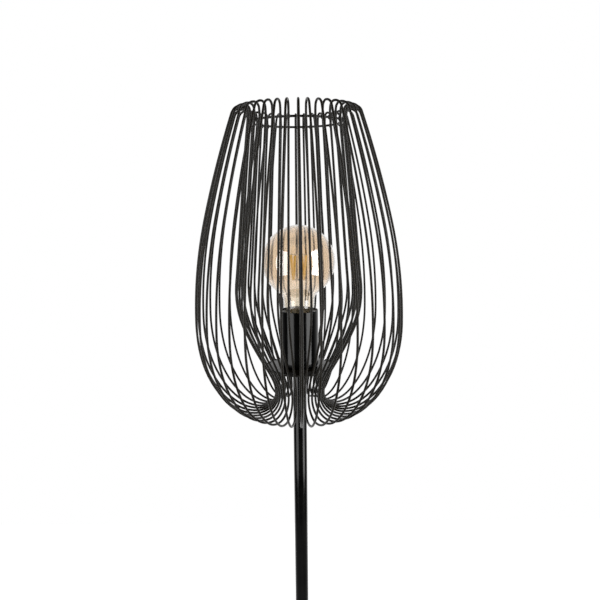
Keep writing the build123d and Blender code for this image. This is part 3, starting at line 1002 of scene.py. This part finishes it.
def globe_outline(bulb, globe_height, cap_top, inset):
    """Half section of the glass from the top of the globe to the middle of its plug, drawn in by inset."""
    globe_radius = bulb.globe_diameter / 2 - inset
    neck_radius = bulb.neck_diameter / 2 - inset
    fillet_radius = bulb.neck_fillet + inset
    plug_radius = bulb.plug_diameter / 2 - inset
    reach = neck_radius + fillet_radius
    drop = sqrt((globe_radius + fillet_radius) ** 2 - reach**2)
    middle = Vector((0, globe_height))
    top = middle + Vector((0, globe_radius))
    meet = middle + Vector((reach, -drop)) * globe_radius / (globe_radius + fillet_radius)
    neck_top = middle + Vector((neck_radius, -drop))
    globe, heading = arc_points(top, 0, meet)
    fillet, heading = arc_points(meet, heading, neck_top)
    plug_foot = cap_top - bulb.plug_length + inset
    rest = [
        neck_top - Vector((0, bulb.neck_length)),
        Vector((plug_radius, cap_top)),
        Vector((plug_radius, plug_foot)),
        Vector((0, plug_foot)),
    ]
    return [top] + globe + fillet + rest


def around(radius, azimuth, height):
    """Point at a radius and an azimuth about the lamp's axis."""
    return Vector((radius * cos(azimuth), radius * sin(azimuth), height))


class LampBulb(bpy.types.Operator):
    """Blow the globe bulb, with its stem, filaments and screw cap"""

    bl_idname = "cage_lamp.bulb"
    bl_label = "Bulb"

    def execute(self, context):
        bulb = context.scene.lamp_bulb
        globe_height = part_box("bulb_glass")[1].z - bulb.globe_diameter / 2
        cap_low, cap_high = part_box("bulb_cap")
        outside = globe_outline(bulb, globe_height, cap_high.z, 0)
        inside = globe_outline(bulb, globe_height, cap_high.z, bulb.glass_wall)
        glass = lathe_to_axis("globe_glass", outside[::-1], inside)
        add_piece("globe_glass", glass, "bulb", "amber_glass", "bulb_glass")

        stem_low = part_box("bulb_stem")[0].z
        foot_height = globe_height + bulb.filament_foot_height
        top_height = globe_height + bulb.filament_top_height
        self.add_stem(bulb, stem_low, foot_height, top_height)
        self.add_filaments(bulb, foot_height, top_height)
        self.add_cap(bulb, cap_low.z, cap_high.z)
        return {"FINISHED"}

    def add_stem(self, bulb, low, foot_height, top_height):
        """Flared glass stem, with a thin rod up to the top of the filaments."""
        foot = Vector((bulb.stem_foot_diameter / 2, low))
        tube = Vector((bulb.stem_diameter / 2, low + bulb.stem_foot_height))
        flare = biarc_points(foot, bulb.stem_foot_heading, tube, radians(90))
        rod_radius = bulb.rod_diameter / 2
        outline = [Vector((0, low)), foot] + flare
        outline += [
            Vector((bulb.stem_diameter / 2, foot_height - bulb.stem_diameter / 2)),
            Vector((rod_radius, foot_height)),
            Vector((rod_radius, top_height)),
            Vector((0, top_height + rod_radius)),
        ]
        add_piece("stem_glass", lathe_to_axis("stem_glass", outline), "bulb", "clear_glass", "bulb_stem")

    def add_filaments(self, bulb, foot_height, top_height):
        """Filament sticks, each turned a little from its top to its foot, and the wires that hold them."""
        top = around(bulb.filament_top_radius, 0, top_height)
        foot = around(bulb.filament_foot_radius, bulb.filament_twist, foot_height)
        settings = sweep_settings(
            bulb.filament_diameter / 2,
            BULB_WIRE_SIDES,
            bulb.filament_count,
            bulb.filament_first_angle,
            finish("filament_phosphor"),
        )
        sticks = turned_copies("filament_sticks", path_curve("stick", [foot, top], cyclic=False), settings)
        add_piece("filament_sticks", sticks, "bulb", "filament_phosphor", "bulb_filaments")
        settings["Radius"] = bulb.spider_diameter / 2
        for name, end in (("spider_top", top), ("spider_foot", foot)):
            centre = Vector((0, 0, end.z))
            lift = Vector((0, 0, (end.z - (top.z + foot.z) / 2) * bulb.spider_lift))
            bend = end.lerp(centre, bulb.spider_bend) + lift
            arm = path_curve(name, [centre, bend, end], cyclic=False)
            add_piece(name, turned_copies(name, arm, settings), "bulb", "nickel_plated_cap")

    def add_cap(self, bulb, low, high):
        """Rolled cap with a helical thread."""
        radius = outer_radius("bulb_cap")
        core = radius - bulb.thread_radius * bulb.thread_proud
        outline = rounded(
            [
                (bulb.plug_diameter / 2 - bulb.cap_wall, low, 0),
                (core, low, bulb.cap_wall),
                (core, high, 0),
                (bulb.plug_diameter / 2, high, 0),
                (bulb.plug_diameter / 2, low + bulb.cap_wall, 0),
            ]
        )
        add_piece("cap_shell", lathe("cap_shell", outline), "bulb", "nickel_plated_cap", "bulb_cap")
        start = low + bulb.thread_pitch / 2
        steps = ceil(bulb.thread_turns * FULL_TURN / ARC_STEP)
        helix = []
        for step in range(steps + 1):
            turns = bulb.thread_turns * step / steps
            height = start + turns * bulb.thread_pitch
            helix.append(around(radius - bulb.thread_radius, turns * FULL_TURN, height))
        settings = sweep_settings(
            bulb.thread_radius,
            BULB_WIRE_SIDES,
            copies=1,
            first_angle=0.0,
            material=finish("nickel_plated_cap"),
        )
        thread = turned_copies("cap_thread", path_curve("thread", helix, cyclic=False), settings)
        add_piece("cap_thread", thread, "bulb", "nickel_plated_cap")


class LampHardware(bpy.types.Operator):
    """Finish the nuts, washers, threaded tubes and contacts"""

    bl_idname = "cage_lamp.hardware"
    bl_label = "Hardware"

    def execute(self, context):
        for node in ("threaded_nipples", "lock_nuts", "lock_washers"):
            paint_node(node, "zinc_plated_steel")
        for node in ("screw_shell", "centre_contact", "bulb_contact"):
            paint_node(node, "brass")
        paint_node("bulb_insulator", "black_glass")
        return {"FINISHED"}


# Studio


def room_level(tree, studio, place, reach):
    """Level of a room that is dim in front of the lamp and grows to its full level at a reach behind it."""
    across = add_node(tree, "ShaderNodeSeparateXYZ", Vector=place).outputs["Y"]
    room = add_node(
        tree,
        "ShaderNodeMapRange",
        {"interpolation_type": "SMOOTHSTEP"},
        Value=across,
        From_Min=0.0,
        From_Max=reach,
        To_Min=studio.front_level,
        To_Max=studio.back_level,
    )
    return room.outputs["Result"]


def seen_level(tree, rays, level):
    """1 where a surface is seen straight or through glass, and the given level elsewhere."""
    straight = calculate(tree, "MAXIMUM", rays["Is Camera Ray"], rays["Is Transmission Ray"])
    return calculate(tree, "MAXIMUM", straight, level)


def light_room(studio):
    """World that is white where it is seen, and lights and shows in reflections as a room, dim in front."""
    world = bpy.data.worlds.new("studio_room")
    bpy.context.scene.world = world
    world.use_nodes = True
    tree = world.node_tree
    background = tree.nodes["Background"]
    background.inputs["Color"].default_value = (1, 1, 1, 1)
    place = tree.nodes.new("ShaderNodeTexCoord").outputs["Generated"]
    rays = tree.nodes.new("ShaderNodeLightPath").outputs
    level = seen_level(tree, rays, room_level(tree, studio, place, reach=1.0))
    tree.links.new(level, background.inputs["Strength"])


def add_softbox(studio, bearing, width, radiance):
    """Tall softbox beside the camera, turned to the bulb."""
    light = bpy.data.lights.new("softbox", "AREA")
    light.shape = "RECTANGLE"
    light.size = width
    light.size_y = studio.softbox_height
    light.energy = LIGHT_POWER * radiance * light.size * light.size_y
    softbox = bpy.data.objects.new("softbox", light)
    bpy.context.scene.collection.objects.link(softbox)
    low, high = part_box("bulb_glass")
    target = (low + high) / 2
    away = Vector((sin(bearing), -cos(bearing), 0))
    softbox.location = target + away * studio.softbox_distance
    softbox.rotation_euler = away.to_track_quat("Z", "Y").to_euler()
    softbox.visible_camera = False
    softbox.visible_transmission = False


def add_floor(studio):
    """Pale floor that reads white and keeps the lamp's shadow."""
    half = studio.floor_size / 2
    mesh = bpy.data.meshes.new("floor")
    corners = [(-half, -half, 0), (half, -half, 0), (half, half, 0), (-half, half, 0)]
    mesh.from_pydata(corners, [], [(0, 1, 2, 3)])
    floor = bpy.data.objects.new("floor", mesh)
    bpy.context.scene.collection.objects.link(floor)
    material = bpy.data.materials.new("floor_paint")
    material.use_nodes = True
    tree = material.node_tree
    shader = tree.nodes["Principled BSDF"]
    shader.inputs["Base Color"].default_value = (studio.floor_shade,) * 3 + (1,)
    shader.inputs["Roughness"].default_value = 0.9
    shader.inputs["Specular IOR Level"].default_value = 0.1
    shader.inputs["Emission Color"].default_value = (1, 1, 1, 1)
    place = tree.nodes.new("ShaderNodeTexCoord").outputs["Object"]
    away = add_node(tree, "ShaderNodeVectorMath", {"operation": "LENGTH"}, Vector=place)
    growth = add_node(
        tree,
        "ShaderNodeMapRange",
        Value=away.outputs["Value"],
        From_Min=studio.near_distance,
        From_Max=studio.far_distance,
        To_Min=studio.near_lift,
        To_Max=studio.far_lift,
    )
    rays = tree.nodes.new("ShaderNodeLightPath").outputs
    room = room_level(tree, studio, place, reach=studio.far_distance)
    mirrored = calculate(tree, "MULTIPLY", rays["Is Glossy Ray"], room)
    lift = calculate(tree, "MULTIPLY", seen_level(tree, rays, mirrored), growth.outputs["Result"])
    tree.links.new(lift, shader.inputs["Emission Strength"])
    mesh.materials.append(material)


def add_camera(studio):
    """Camera at the photograph's viewing angle."""
    camera = bpy.data.cameras.new("camera")
    camera.lens = studio.lens
    camera.sensor_width = studio.lens
    holder = bpy.data.objects.new("camera", camera)
    bpy.context.scene.collection.objects.link(holder)
    place = (studio.camera_side, -studio.camera_distance, hub_middle() + studio.camera_height)
    aim = Matrix.Rotation(radians(90) - studio.camera_pitch, 4, "X")
    holder.matrix_world = Matrix.Translation(place) @ aim @ Matrix.Rotation(-studio.camera_roll, 4, "Z")
    bpy.context.scene.camera = holder


class LampStudio(bpy.types.Operator):
    """Set up the camera, the softboxes, the room and the floor"""

    bl_idname = "cage_lamp.studio"
    bl_label = "Studio"

    def execute(self, context):
        studio = context.scene.lamp_studio
        context.scene.view_settings.view_transform = "Standard"
        add_camera(studio)
        light_room(studio)
        add_softbox(studio, studio.left_angle, studio.left_width, studio.left_radiance)
        add_softbox(studio, studio.right_angle, studio.right_width, studio.right_radiance)
        add_floor(studio)
        return {"FINISHED"}


OPERATORS = (LampCage, LampRings, LampPole, LampFoot, LampSocket, LampBulb, LampHardware, LampStudio)
SETTINGS = {
    "lamp_cage": CageSizes,
    "lamp_bodies": BodySizes,
    "lamp_bulb": BulbSizes,
    "lamp_colours": FinishColours,
    "lamp_studio": StudioSettings,
}


class LampPanel(bpy.types.Panel):
    """The lamp's sizes and colours, and the steps that build it"""

    bl_idname = "VIEW3D_PT_cage_lamp"
    bl_label = "Cage Lamp"
    bl_space_type = "VIEW_3D"
    bl_region_type = "UI"
    bl_category = "Cage Lamp"

    def draw(self, context):
        for operator in OPERATORS:
            self.layout.operator(operator.bl_idname)
        for name, group in SETTINGS.items():
            box = self.layout.box()
            box.label(text=group.__doc__)
            for setting in group.__annotations__:
                box.prop(getattr(context.scene, name), setting)


def register():
    for name, group in SETTINGS.items():
        bpy.utils.register_class(group)
        setattr(bpy.types.Scene, name, PointerProperty(type=group))
    for kind in OPERATORS + (LampPanel,):
        bpy.utils.register_class(kind)


def unregister():
    for kind in reversed(OPERATORS + (LampPanel,)):
        bpy.utils.unregister_class(kind)
    for name, group in reversed(SETTINGS.items()):
        delattr(bpy.types.Scene, name)
        bpy.utils.unregister_class(group)


def main():
    register()
    bpy.ops.cage_lamp.studio()
    bpy.ops.cage_lamp.cage()
    bpy.ops.cage_lamp.rings()
    bpy.ops.cage_lamp.pole()
    bpy.ops.cage_lamp.foot()
    bpy.ops.cage_lamp.socket()
    bpy.ops.cage_lamp.bulb()
    bpy.ops.cage_lamp.hardware()


if __name__ == "__main__":
    main()
